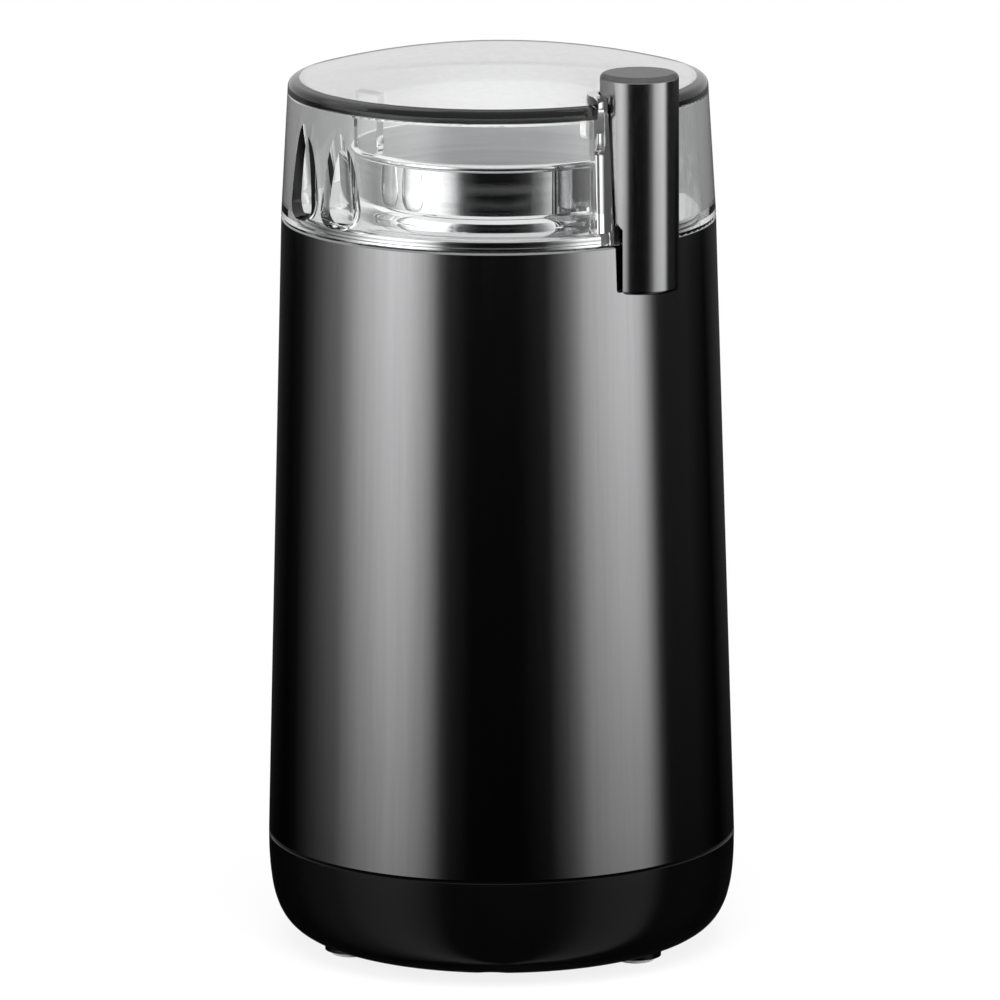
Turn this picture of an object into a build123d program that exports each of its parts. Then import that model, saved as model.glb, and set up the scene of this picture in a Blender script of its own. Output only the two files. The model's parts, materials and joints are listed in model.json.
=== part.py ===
from build123d import *
import math
import os

os.makedirs("parts", exist_ok=True)

# Electric blade coffee grinder. Sizes are millimetres. The origin is on the table under the
# body's axis, +Z is up and the push column faces -Y.

# Clearances
overrun = 4.0               # a cutter's run past the face that it opens
slide_gap = 0.3             # between pieces that move past each other
seat_gap = 0.2              # between pieces that are slipped together
run_gap = 0.05              # radial clearance of a shaft or rod in its bore
quarter_turn = 90

# Base cover
foot_stand = 1.2            # table to the underside of the base
base_height = 19.5
base_flare = 3.35           # the base's radius outside the top of the sleeve
base_corner = 13.0          # run of the rounded lower edge
base_sole_share = 0.85      # fullness of the rounded edge along the underside
base_side_share = 0.7       # and up the side
base_floor = 2.5
spigot_height = 4.0         # rim that stands up inside the sleeve
spigot_wall = 1.8
seam_chamfer = 0.35
base_boss_height = 9.0
base_boss_radius = 3.8
vent_margin = 3.1           # between a vent and the foot bosses
vent_length = 13.0
vent_width = 2.4
vent_count = 12

# Feet
foot_edge = 12.0            # a foot's axis inside the base's widest radius
foot_angles = (100, 164, 280, 344)
foot_radius = 3.7
foot_rim = 1.0              # wall of the boss around a foot
foot_reach = 0.9            # a foot's reach below its boss
foot_depth = 1.7            # depth of the recess in the boss
foot_round = 0.6

# Screws in the base
screw_radius = 1.5
screw_head_radius = 3.0
screw_length = 22.0
screw_sink = 1.6            # a head above the flat underside
pilot_spare = 2.5           # pilot hole past a screw's end

# Cord gland in the back of the base
gland_lift = 1.3            # axis above the middle of the base
gland_bore_radius = 3.3
gland_neck_radius = 4.3
gland_flange_radius = 5.3
gland_flange = 1.3
gland_grip = 4.5            # length between the flanges
gland_recess = 2.0          # seat of the outer flange inside the base's widest radius
gland_boss_wall = 2.0

# Body sleeve
bay_width = 9.85            # between the frame's well and the top of the sleeve
sleeve_wall = 1.2
sleeve_lip = 1.2
sleeve_round = 0.5

# Clear lid
lid_height = 24.5
lid_taper = 1.45            # the rim's radius inside the lid's foot
lid_dome_rise = 5.3
lid_wall = 2.4
lid_roof = 2.2
lid_rim_round = 1.4
lid_inner_round = 1.5
channel_wall = 2.0
channel_rise = 2.0          # the channel's top above the lid's rim
flute_radius = 5.6
flute_depth = 3.0
flute_lift = 1.3            # a flute's lower end above the lid's foot
flute_ledge = 1.1           # thickness of the ledge at a flute's lower end
flute_length = 17.6         # from its lower end to where the flute runs out
flute_wall = 2.0
flute_round = 3.0
flute_angles = (0, 17.5, 162.5, 180)
lid_tab_inset = 5.75        # outer face of the two tabs under the roof inside the lid's bore
lid_tab_thick = 1.5
lid_tab_width = 6.0
lid_tab_round = 1.5
lid_tab_clear = 1.2         # between a tab and the cup's rim

# Push column
column_radius = 7.1
column_inset = 1.95         # the column's axis inside the sleeve's top radius
column_rise = 5.75          # above the lid's rim
column_drop = 9.05          # below the lid's lower edge
column_travel = 3.5
column_clear = 0.5          # between the pressed column and the deck
column_flat = 0.5           # flat on the back for the retainer
column_round = 1.0
skirt_setback = 2.65        # the skirt's flat back outside the column's axis
skirt_slope = 1.0           # run of the slanted shoulder above the skirt's back
skirt_round = 0.6
pin_radius = 1.5
pin_edge = 2.5              # the pin inside the column's surface
pin_reach = 4.0             # the pin's end below the deck

# Column retainer
retainer_width = 9.0
retainer_height = 6.4
retainer_round = 1.5
retainer_thick = 1.5
retainer_boss_width = 3.0
retainer_boss_height = 4.4
retainer_inset = 4.1        # middle of the retainer below the lid's rim
retainer_screw_radius = 0.8
retainer_screw_length = 6.5
retainer_head_radius = 1.6
retainer_head = 0.9

# Top collar
collar_height = 1.9
collar_overlap = 0.8        # on the sleeve's lip
collar_round = 0.8
notch_gap = 1.5             # around the column

# Grinding cup
cup_radius = 26.2
cup_wall = 0.8
cup_rise = 13.5             # rim above the sleeve
cup_depth = 52.0
cup_corner = 6.0
cup_bead = 1.2
cup_roll = 0.7              # radius of the rolled rim

# Cup bush, nut and shaft seal
bush_radius = 5.5
bush_flange_radius = 8.0
bush_flange = 1.5
bush_bore_gap = 0.6
nut_radius = 8.5
nut_height = 4.0
seal_radius = 4.5
seal_height = 3.0

# Motor frame
well_wall = 2.2
well_floor = 4.0
flange_thick = 3.0
leg_gap = 1.6               # between a leg and the sleeve
leg_radius = 3.2
leg_count = 4
leg_start = 45
web_thick = 2.0

# Push rod and its spring
rod_radius = 1.8
rod_shoulder_radius = 3.0
rod_shoulder = 2.0
rod_stem_radius = 1.4
guide_length = 6.5
guide_wall = 1.4
rod_spring_length = 10.0
rod_spring_radius = 2.3
rod_spring_wire = 0.25
rod_spring_turns = 6

# Switch
switch_width = 15.0
switch_depth = 6.6
switch_height = 12.0
switch_round = 0.5
button_radius = 1.4
button_rise = 4.5
button_sink = 3.0
switch_pitch = 9.5
switch_screw_radius = 1.0
switch_head_radius = 1.9
switch_head = 1.2
switch_screw_height = 4.0   # above the underside of the switch
switch_pad_radius = 2.2
switch_axis_depth = 3.4     # the button's axis from the back of the switch
tab_pitch = 6.4
tab_width = 4.0
tab_thick = 0.8
tab_length = 7.0

# Motor stack and brackets
damper_height = 7.0
damper_radius = 4.5
motor_screw_margin = 4.2    # between a screw's head and the bearing boss
motor_screw_radius = 1.6
motor_head_radius = 2.8
motor_head = 1.6
bracket_thick = 3.0
bracket_width = 12.0
bracket_leg = 3.8
stack_height = 22.0
stator_yoke = 5.1           # iron outside the coils
bolt_inset = 2.9
bolt_radius = 1.4
bolt_head_radius = 2.6
bolt_head = 1.8
bolt_grip = 8.0             # thread in the upper bracket
coil_thick = 4.0
coil_overhang = 5.0
coil_span = 156
pole_span = 112
pole_lip = 0.8              # iron between a coil and the bore

# Rotor
shaft_radius = 3.0
shaft_tip_radius = 2.4
shaft_tail = 1.5            # below the lower bearing
shaft_clear = 11.7          # above the floor of the base
bearing_radius = 5.5
bearing_length = 5.0
bearing_boss_wall = 2.5
rotor_radius = 15.2
air_gap = 0.4
slot_count = 10
slot_width = 2.6
slot_depth = 5.5
winding_overhang = 6.5
winding_inset = 1.7         # the windings inside the rotor's radius
winding_round = 1.5
commutator_radius = 8.0
commutator_height = 10.0
commutator_slit = 0.5
commutator_slit_depth = 1.5
commutator_clear = 6.5      # above the lower bracket
riser_width = 1.2
riser_height = 1.6
fan_clear = 1.2             # between the fan and the bracket's legs
fan_seat = 1.0              # between the fan and the windings
fan_hub_radius = 6.5
fan_height = 4.5
fan_plate = 1.2
fan_gap = 3.5
vane_count = 9
vane_thick = 1.2

# Brush gear
brush_width = 4.0
brush_height = 5.0
brush_length = 8.0
holder_wall = 1.6
holder_length = 12.5
holder_stand_off = 2.2      # between the commutator and a holder
cap_thick = 1.5
brush_spring_radius = 1.4
brush_spring_wire = 0.2
brush_spring_turns = 4

# Blade
blade_gap = 3.0             # above the cup bush
blade_thick = 1.6
blade_tip_gap = 3.4         # between a wing's tip and the cup
blade_root_width = 10.0
blade_tip_width = 6.5
blade_hub_radius = 6.0
blade_pitch = 12
blade_nut_radius = 5.2
blade_nut_height = 7.0
blade_nut_round = 1.2
tip_thread = 5.0            # shaft tip above the blade

# Motor lead
lead_radius = 0.9
lead_bend_share = 0.78      # of the run from the switch to the brush gear

# Heights
floor_top_z = foot_stand + base_floor
seam_z = foot_stand + base_height
spigot_top_z = seam_z + spigot_height
boss_top_z = floor_top_z + base_boss_height
gland_z = (foot_stand + seam_z) / 2 + gland_lift
head_z = foot_stand + screw_sink
pilot_depth = head_z + screw_length + pilot_spare - boss_top_z
shaft_z = floor_top_z + shaft_clear
bearing_foot_z = shaft_z + shaft_tail
lower_bridge_top_z = bearing_foot_z + bearing_length
commutator_z = lower_bridge_top_z + commutator_clear
winding_z = commutator_z + commutator_height
brush_z = commutator_z + (commutator_height - riser_height) / 2
stack_z = winding_z + winding_overhang
stack_top_z = stack_z + stack_height
winding_top_z = stack_top_z + winding_overhang
fan_z = winding_top_z + fan_seat
upper_bridge_z = fan_z + fan_height + fan_gap
upper_bridge_top_z = upper_bridge_z + bracket_thick
lower_leg = stack_z - lower_bridge_top_z
upper_leg = upper_bridge_z - stack_top_z
well_floor_z = upper_bridge_top_z + damper_height
cup_floor_z = well_floor_z + well_floor
cup_floor_top_z = cup_floor_z + cup_wall
cup_rim_z = cup_floor_top_z + cup_depth
deck_z = cup_rim_z - cup_rise
sleeve_height = deck_z - seam_z
lid_foot_z = deck_z + slide_gap
rim_z = lid_foot_z + lid_height
dome_z = rim_z + lid_dome_rise
collar_top_z = deck_z + collar_height
channel_foot_z = collar_top_z + slide_gap
channel_top_z = rim_z + channel_rise
column_foot_z = deck_z + column_travel + column_clear
column_bottom_z = lid_foot_z - column_drop
column_top_z = rim_z + column_rise
pin_end_z = deck_z - pin_reach
flange_top_z = deck_z - sleeve_lip
flange_z = flange_top_z - flange_thick
guide_z = flange_z - guide_length
rod_top_z = pin_end_z - slide_gap
shoulder_top_z = guide_z - slide_gap
shoulder_z = shoulder_top_z - rod_shoulder
switch_top_z = shoulder_z - rod_spring_length
switch_z = switch_top_z - switch_height
button_top_z = switch_top_z + button_rise
rod_end_z = button_top_z + slide_gap
switch_screw_z = switch_z + switch_screw_height
bush_top_z = cup_floor_top_z + bush_flange
blade_z = bush_top_z + blade_gap
blade_top_z = blade_z + blade_thick

# Radii and places that follow from the sizes above
well_radius = cup_radius + seat_gap
well_outer = well_radius + well_wall
sleeve_top_radius = well_outer + bay_width + sleeve_wall
base_radius = sleeve_top_radius + base_flare
sole_radius = base_radius - base_corner
foot_circle = base_radius - foot_edge
foot_boss_radius = foot_radius + foot_rim
foot_turns = [math.radians(angle) for angle in foot_angles]
foot_spots = [(foot_circle * math.cos(turn), foot_circle * math.sin(turn)) for turn in foot_turns]
vent_circle = foot_circle - foot_boss_radius - vent_margin - vent_length / 2
leg_circle = sleeve_top_radius - sleeve_wall - leg_gap - leg_radius
lid_rim_radius = sleeve_top_radius - lid_taper
lid_bore_radius = sleeve_top_radius - lid_wall
tab_reach = lid_bore_radius - lid_tab_inset
lid_top_bore = lid_rim_radius - lid_wall
roof_z = dome_z - lid_roof
roof_rim_z = roof_z - lid_dome_rise * (lid_top_bore / lid_rim_radius) ** 2
collar_radius = lid_bore_radius - slide_gap
lip_radius = collar_radius - collar_overlap
column_circle = sleeve_top_radius - column_inset
channel_radius = column_radius + slide_gap
channel_outer = channel_radius + channel_wall
rod_circle = column_circle - column_radius + pin_edge + pin_radius
switch_inner = rod_circle - switch_axis_depth
switch_standoff = switch_inner - well_outer
switch_outer = switch_inner + switch_depth
stator_bore = rotor_radius + air_gap
coil_bore = stator_bore + pole_lip
coil_radius = coil_bore + coil_thick
stator_radius = coil_radius + stator_yoke
bolt_circle = stator_radius - bolt_inset
fan_radius = bolt_circle - bracket_leg / 2 - fan_clear
winding_radius = rotor_radius - winding_inset
bearing_boss_radius = bearing_radius + bearing_boss_wall
motor_screw_x = bearing_boss_radius + motor_screw_margin + motor_head_radius
holder_start = commutator_radius + holder_stand_off
holder_end = holder_start + holder_length
brush_start = commutator_radius + run_gap
brush_end = brush_start + brush_length
holder_half_width = brush_width / 2 + holder_wall
gland_seat_y = base_radius - gland_recess
gland_inner_y = gland_seat_y - gland_grip
retainer_face = column_circle - channel_outer - slide_gap
retainer_back = retainer_face - retainer_thick
column_back = column_circle - column_radius + column_flat
retainer_mid_z = rim_z - retainer_inset


def sleeve_radius(z):
    """Outer radius of the tapered sleeve at a height."""
    return base_radius + (sleeve_top_radius - base_radius) * (z - seam_z) / sleeve_height


def lid_radius(z):
    """Outer radius of the lid's tapered wall at a height."""
    return sleeve_top_radius + (lid_rim_radius - sleeve_top_radius) * (z - lid_foot_z) / lid_height


def radial_plane(angle):
    """Upright plane through the axis, its local X pointing outwards at an angle in degrees."""
    turn = math.radians(angle)
    return Plane((0, 0, 0), (math.cos(turn), math.sin(turn), 0), (math.sin(turn), -math.cos(turn), 0))


def under_plane(z):
    """Level plane that faces down at a height."""
    return Plane((0, 0, z), (1, 0, 0), (0, 0, -1))


def rear_plane(y, z):
    """Upright plane that faces +Y."""
    return Plane((0, y, z), (1, 0, 0), (0, 1, 0))


def coil_spring(seat, coil_radius, wire_radius, length, turns):
    """Helical spring standing on a plane, two tangent arcs to each quarter turn of its wire."""
    quarters = 4 * turns
    first = wire_radius + run_gap
    climb = (length - 2 * first) / quarters
    stride = coil_radius * math.pi / 2
    knots = []
    for quarter in range(quarters + 1):
        turn = quarter * math.pi / 2
        east = math.cos(turn)
        north = math.sin(turn)
        spot = Vector(coil_radius * east, coil_radius * north, first + quarter * climb)
        heading = Vector(-stride * north, stride * east, climb).normalized()
        knots.append((seat.from_local_coords(spot), seat.from_local_coords(heading) - seat.origin))
    with BuildPart() as spring:
        with BuildLine() as wire:
            for (start, leave), (end, arrive) in zip(knots, knots[1:]):
                chord = end - start
                along = chord.dot(leave + arrive)
                bend = 2 * (1 - leave.dot(arrive))
                reach = (math.sqrt(along ** 2 + bend * chord.dot(chord)) - along) / bend
                near = start + leave * reach
                far = end - arrive * reach
                middle = (near + far) * 0.5
                TangentArc(start, middle, tangent=leave)
                TangentArc(middle, end, tangent=far - near)
        track = wire.wire()
        with BuildSketch(Plane(origin=track @ 0, z_dir=track % 0)):
            Circle(wire_radius)
        sweep(path=track)
    spots = [knot[0] for knot in knots]
    gap = min((b - a).length for i, a in enumerate(spots) for b in spots[i + 3:]) - 2 * wire_radius
    print("spring turns apart:", round(gap, 3))
    return spring


# Base cover: a rounded tub with foot bosses, screw bosses, vents and a seat for the cord gland
spigot_radius = sleeve_radius(spigot_top_z) - sleeve_wall - seat_gap
spigot_bore = spigot_radius - spigot_wall
floor_radius = sole_radius - base_floor
shoulder_edge_z = seam_z - seam_chamfer
gland_boss_radius = gland_flange_radius + gland_boss_wall
with BuildPart() as base_cover:
    with BuildSketch(Plane.XZ):
        with BuildLine():
            Line((0, foot_stand), (sole_radius, foot_stand))
            Bezier(
                (sole_radius, foot_stand),
                (sole_radius + base_sole_share * base_corner, foot_stand),
                (base_radius, shoulder_edge_z - base_side_share * (shoulder_edge_z - foot_stand)),
                (base_radius, shoulder_edge_z),
            )
            Polyline(
                (base_radius, shoulder_edge_z),
                (base_radius - seam_chamfer, seam_z),
                (spigot_radius, seam_z),
                (spigot_radius, spigot_top_z),
                (spigot_bore, spigot_top_z),
                (spigot_bore, seam_z),
            )
            Bezier(
                (spigot_bore, seam_z),
                (spigot_bore, seam_z - base_side_share * (seam_z - floor_top_z)),
                (floor_radius + base_sole_share * (spigot_bore - floor_radius), floor_top_z),
                (floor_radius, floor_top_z),
            )
            Polyline((floor_radius, floor_top_z), (0, floor_top_z), (0, foot_stand))
        make_face()
    revolve(axis=Axis.Z)
    with BuildSketch(Plane.XY.offset(foot_reach)):
        with Locations(*foot_spots):
            Circle(foot_boss_radius)
    extrude(amount=floor_top_z - foot_reach)
    with BuildSketch(Plane.XY.offset(floor_top_z)):
        with PolarLocations(leg_circle, leg_count, leg_start):
            Circle(base_boss_radius)
    extrude(amount=boss_top_z - floor_top_z)
    with BuildSketch(rear_plane(gland_inner_y, gland_z)):
        Circle(gland_boss_radius)
    extrude(amount=gland_grip)
    with BuildSketch(Plane.XY.offset(foot_reach - overrun)):
        with Locations(*foot_spots):
            Circle(foot_radius + run_gap)
    extrude(amount=overrun + foot_depth, mode=Mode.SUBTRACT)
    with BuildSketch(Plane.XY.offset(foot_stand - overrun)):
        with PolarLocations(vent_circle, vent_count):
            SlotOverall(vent_length, vent_width)
    extrude(amount=base_floor + 2 * overrun, mode=Mode.SUBTRACT)
    with BuildSketch(Plane.XY.offset(foot_stand - overrun)):
        with PolarLocations(leg_circle, leg_count, leg_start):
            Circle(screw_head_radius + seat_gap)
    extrude(amount=overrun + screw_sink, mode=Mode.SUBTRACT)
    with Locations(under_plane(head_z)):
        with PolarLocations(leg_circle, leg_count, leg_start):
            CounterSinkHole(screw_radius + seat_gap, screw_head_radius + seat_gap, counter_sink_angle=90)
    with BuildSketch(rear_plane(gland_seat_y, gland_z)):
        Circle(gland_flange_radius + seat_gap)
    extrude(amount=overrun, mode=Mode.SUBTRACT)
    with BuildSketch(rear_plane(gland_inner_y, gland_z)):
        Circle(gland_neck_radius + run_gap)
    extrude(amount=gland_grip + overrun, mode=Mode.SUBTRACT)

# Rubber feet: round pads in the bosses of the base
with BuildPart() as rubber_feet:
    with BuildSketch(Plane.XY):
        with Locations(*foot_spots):
            Circle(foot_radius)
    extrude(amount=foot_reach + foot_depth)
    fillet(rubber_feet.edges().group_by(Axis.Z)[0], foot_round)

# Base screws: countersunk, up through the base into the legs of the frame
with BuildPart() as base_screws:
    with BuildSketch(Plane.XY.offset(head_z)):
        with PolarLocations(leg_circle, leg_count, leg_start):
            Circle(screw_radius)
    extrude(amount=screw_length)
    with BuildSketch(Plane.XY.offset(head_z)):
        with PolarLocations(leg_circle, leg_count, leg_start):
            Circle(screw_head_radius)
    extrude(amount=screw_head_radius - screw_radius, taper=45)

# Cord gland: a flanged rubber bush in the back of the base
with BuildPart() as cord_gland:
    with BuildSketch(rear_plane(gland_inner_y - gland_flange, gland_z)):
        Circle(gland_flange_radius)
    extrude(amount=gland_flange)
    with BuildSketch(rear_plane(gland_inner_y, gland_z)):
        Circle(gland_neck_radius)
    extrude(amount=gland_grip)
    with BuildSketch(rear_plane(gland_seat_y, gland_z)):
        Circle(gland_flange_radius)
    extrude(amount=gland_flange)
    with BuildSketch(rear_plane(gland_inner_y - gland_flange, gland_z)):
        Circle(gland_bore_radius)
    extrude(amount=gland_grip + 2 * gland_flange, mode=Mode.SUBTRACT)

# Body sleeve: a tapered shell with a turned-in lip
with BuildPart() as body_sleeve:
    with BuildSketch(Plane.XZ) as sleeve_outline:
        with BuildLine():
            Polyline(
                (base_radius, seam_z),
                (sleeve_top_radius, deck_z),
                (lip_radius, deck_z),
                (lip_radius, flange_top_z),
                (sleeve_radius(flange_top_z) - sleeve_wall, flange_top_z),
                (base_radius - sleeve_wall, seam_z),
                close=True,
            )
        make_face()
        chamfer(sleeve_outline.vertices().sort_by_distance((base_radius, seam_z))[0], seam_chamfer)
        fillet(sleeve_outline.vertices().sort_by_distance((sleeve_top_radius, deck_z))[0], sleeve_round)
    revolve(axis=Axis.Z)

# Motor frame: a well for the cup under a flange, with four legs, a rod guide and switch pads
frame_flange_radius = sleeve_radius(flange_top_z) - sleeve_wall - seat_gap
frame_land_radius = lip_radius - seat_gap
with BuildPart() as motor_frame:
    with BuildSketch(Plane.XZ):
        with BuildLine():
            Polyline(
                (bush_radius + seat_gap, well_floor_z),
                (well_outer, well_floor_z),
                (well_outer, flange_z),
                (frame_flange_radius, flange_z),
                (frame_flange_radius, flange_top_z),
                (frame_land_radius, flange_top_z),
                (frame_land_radius, deck_z),
                (well_radius, deck_z),
                (well_radius, cup_floor_z),
                (bush_radius + seat_gap, cup_floor_z),
                close=True,
            )
        make_face()
    revolve(axis=Axis.Z)
    with BuildSketch(Plane.XY.offset(boss_top_z)):
        with PolarLocations(leg_circle, leg_count, leg_start):
            Circle(leg_radius)
    extrude(amount=flange_z - boss_top_z)
    with BuildSketch(Plane.XY.offset(well_floor_z)):
        with PolarLocations((well_outer + leg_circle) / 2, leg_count, leg_start):
            Rectangle(leg_circle - well_outer + well_wall, web_thick)
    extrude(amount=flange_z - well_floor_z)
    with BuildSketch(Plane.XY.offset(guide_z)):
        with Locations((0, -rod_circle)):
            Circle(rod_radius + guide_wall)
    extrude(amount=guide_length)
    with BuildSketch(rear_plane(-switch_inner, switch_screw_z)):
        with Locations((-switch_pitch / 2, 0), (switch_pitch / 2, 0)):
            Circle(switch_pad_radius)
    extrude(amount=switch_standoff + well_wall / 2)
    with BuildSketch(Plane.XY.offset(guide_z - overrun)):
        with Locations((0, -rod_circle)):
            Circle(rod_radius + run_gap)
    extrude(amount=deck_z - guide_z + 2 * overrun, mode=Mode.SUBTRACT)
    with BuildSketch(rear_plane(-switch_inner, switch_screw_z)):
        with Locations((-switch_pitch / 2, 0), (switch_pitch / 2, 0)):
            Circle(switch_screw_radius + run_gap)
    extrude(amount=switch_standoff, mode=Mode.SUBTRACT)
    with BuildSketch(Plane.XY.offset(boss_top_z)):
        with PolarLocations(leg_circle, leg_count, leg_start):
            Circle(screw_radius + run_gap)
    extrude(amount=pilot_depth, mode=Mode.SUBTRACT)
    with BuildSketch(Plane.XY.offset(well_floor_z)):
        with Locations((-motor_screw_x, 0), (motor_screw_x, 0)):
            Circle(motor_screw_radius + run_gap)
    extrude(amount=well_floor, mode=Mode.SUBTRACT)

# Top collar: a steel ring under the cup's bead, notched for the push column
with BuildPart() as top_collar:
    with BuildSketch(Plane.XZ) as collar_outline:
        with BuildLine():
            Polyline(
                (cup_radius + seat_gap, deck_z),
                (collar_radius, deck_z),
                (collar_radius, collar_top_z),
                (cup_radius + seat_gap, collar_top_z),
                close=True,
            )
        make_face()
        fillet(collar_outline.vertices().sort_by_distance((collar_radius, collar_top_z))[0], collar_round)
    revolve(axis=Axis.Z)
    with BuildSketch(Plane.XY.offset(deck_z - overrun)):
        with Locations((0, -column_circle)):
            Circle(column_radius + notch_gap)
    extrude(amount=collar_height + 2 * overrun, mode=Mode.SUBTRACT)

# Grinding cup: a drawn steel cup with a bead on the collar and a rolled rim
cup_bore = cup_radius - cup_wall
cup_inner_corner = cup_corner - cup_wall
bead_top_z = collar_top_z + 2 * cup_bead
roll_z = cup_rim_z - cup_roll
with BuildPart() as grinding_cup:
    with BuildSketch(Plane.XZ):
        with BuildLine():
            Line((bush_radius + seat_gap, cup_floor_z), (cup_radius - cup_corner, cup_floor_z))
            TangentArc(
                (cup_radius - cup_corner, cup_floor_z), (cup_radius, cup_floor_z + cup_corner), tangent=(1, 0)
            )
            Line((cup_radius, cup_floor_z + cup_corner), (cup_radius, collar_top_z))
            Line((cup_radius, collar_top_z), (cup_radius + cup_bead, collar_top_z))
            TangentArc((cup_radius + cup_bead, collar_top_z), (cup_radius, bead_top_z), tangent=(0, 1))
            Line((cup_radius, bead_top_z), (cup_radius, roll_z - cup_roll))
            ThreePointArc((cup_radius, roll_z - cup_roll), (cup_radius + cup_roll, roll_z), (cup_radius, cup_rim_z))
            Line((cup_radius, cup_rim_z), (cup_bore, cup_rim_z))
            Line((cup_bore, cup_rim_z), (cup_bore, cup_floor_z + cup_corner))
            TangentArc(
                (cup_bore, cup_floor_z + cup_corner),
                (cup_bore - cup_inner_corner, cup_floor_top_z),
                tangent=(0, -1),
            )
            Line((cup_bore - cup_inner_corner, cup_floor_top_z), (bush_radius + seat_gap, cup_floor_top_z))
            Line((bush_radius + seat_gap, cup_floor_top_z), (bush_radius + seat_gap, cup_floor_z))
        make_face()
    revolve(axis=Axis.Z)

# Cup bush: a flanged tube through the floors of the cup and the frame
with BuildPart() as cup_bush:
    with BuildSketch(Plane.XY.offset(well_floor_z - nut_height)):
        Circle(bush_radius)
    extrude(amount=cup_floor_top_z - well_floor_z + nut_height)
    with BuildSketch(Plane.XY.offset(cup_floor_top_z)):
        Circle(bush_flange_radius)
    extrude(amount=bush_flange)
    with BuildSketch(Plane.XY.offset(well_floor_z - nut_height)):
        Circle(shaft_radius + bush_bore_gap)
    extrude(amount=bush_top_z - well_floor_z + nut_height, mode=Mode.SUBTRACT)
    with BuildSketch(Plane.XY.offset(bush_top_z - seal_height)):
        Circle(seal_radius)
    extrude(amount=seal_height, mode=Mode.SUBTRACT)

# Cup nut: clamps the bush under the frame
with BuildPart() as cup_nut:
    with BuildSketch(Plane.XY.offset(well_floor_z - nut_height)):
        RegularPolygon(nut_radius, 6)
        Circle(bush_radius + run_gap, mode=Mode.SUBTRACT)
    extrude(amount=nut_height)

# Shaft seal: a ring in the top of the cup bush
with BuildPart() as shaft_seal:
    with BuildSketch(Plane.XY.offset(bush_top_z - seal_height)):
        Circle(seal_radius)
        Circle(shaft_radius + run_gap, mode=Mode.SUBTRACT)
    extrude(amount=seal_height)

# Motor dampers: rubber rings between the frame and the motor
with BuildPart() as motor_dampers:
    with BuildSketch(Plane.XY.offset(upper_bridge_top_z)):
        with Locations((-motor_screw_x, 0), (motor_screw_x, 0)):
            Circle(damper_radius)
            Circle(motor_screw_radius + seat_gap, mode=Mode.SUBTRACT)
    extrude(amount=damper_height)

# Motor screws: hang the upper bracket from the frame
with BuildPart() as motor_screws:
    with BuildSketch(Plane.XY.offset(upper_bridge_z)):
        with Locations((-motor_screw_x, 0), (motor_screw_x, 0)):
            Circle(motor_screw_radius)
    extrude(amount=bracket_thick + damper_height + well_floor)
    with BuildSketch(Plane.XY.offset(upper_bridge_z - motor_head)):
        with Locations((-motor_screw_x, 0), (motor_screw_x, 0)):
            Circle(motor_head_radius)
    extrude(amount=motor_head)


def bracket(face, leg, thread):
    """Die-cast bearing bridge that stands on one face of the lamination stack."""
    with BuildPart() as bridge:
        with BuildSketch(face):
            with Locations((-bolt_circle, 0), (bolt_circle, 0)):
                Rectangle(bracket_leg, bracket_width)
        extrude(amount=leg)
        with BuildSketch(face.offset(leg)):
            Rectangle(2 * bolt_circle + bracket_leg, bracket_width)
        extrude(amount=bracket_thick)
        with BuildSketch(face.offset(leg)):
            Circle(bearing_boss_radius)
        extrude(amount=bearing_length)
        with BuildSketch(face.offset(leg)):
            Circle(bearing_radius)
        extrude(amount=bearing_length, mode=Mode.SUBTRACT)
        with BuildSketch(face):
            with Locations((-bolt_circle, 0), (bolt_circle, 0)):
                Circle(bolt_radius + run_gap)
        extrude(amount=thread, mode=Mode.SUBTRACT)
    return bridge


# Upper bracket, hung from the frame by its two screws
upper_bridge = bracket(Plane.XY.offset(stack_top_z), upper_leg, bolt_grip)
with BuildPart() as upper_bracket:
    add(upper_bridge.part)
    with BuildSketch(Plane.XY.offset(upper_bridge_z)):
        with Locations((-motor_screw_x, 0), (motor_screw_x, 0)):
            Circle(motor_screw_radius + seat_gap)
    extrude(amount=bracket_thick, mode=Mode.SUBTRACT)

# Lower bracket, with two arms for the brush holders
lower_bridge = bracket(under_plane(stack_z), lower_leg, lower_leg + bracket_thick)
with BuildPart() as lower_bracket:
    add(lower_bridge.part)
    with BuildSketch(under_plane(lower_bridge_top_z)):
        Rectangle(2 * holder_half_width, 2 * holder_end)
        Circle(bearing_radius, mode=Mode.SUBTRACT)
    extrude(amount=bracket_thick)


def bearing(z):
    """Plain sintered bush for the shaft."""
    with BuildPart() as ring:
        with BuildSketch(Plane.XY.offset(z)):
            Circle(bearing_radius)
            Circle(shaft_radius + run_gap, mode=Mode.SUBTRACT)
        extrude(amount=bearing_length)
    return ring


upper_bearing = bearing(upper_bridge_z)
lower_bearing = bearing(bearing_foot_z)

# Stator core: a lamination stack with a bore, four coil slots and two bolt holes
slot_span = (coil_span - pole_span) / 2
with BuildPart() as stator_core:
    with BuildSketch(Plane.XY.offset(stack_z)):
        Circle(stator_radius)
        Circle(stator_bore, mode=Mode.SUBTRACT)
        with Locations((-bolt_circle, 0), (bolt_circle, 0)):
            Circle(bolt_radius + run_gap, mode=Mode.SUBTRACT)
    extrude(amount=stack_height)
    for side in (0, 180):
        for slot_start in (pole_span / 2, -coil_span / 2):
            with BuildSketch(radial_plane(side + slot_start)):
                with BuildLine():
                    Polyline(
                        (coil_bore, stack_z),
                        (coil_radius, stack_z),
                        (coil_radius, stack_top_z),
                        (coil_bore, stack_top_z),
                        close=True,
                    )
                make_face()
            revolve(axis=Axis.Z, revolution_arc=slot_span, mode=Mode.SUBTRACT)

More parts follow.
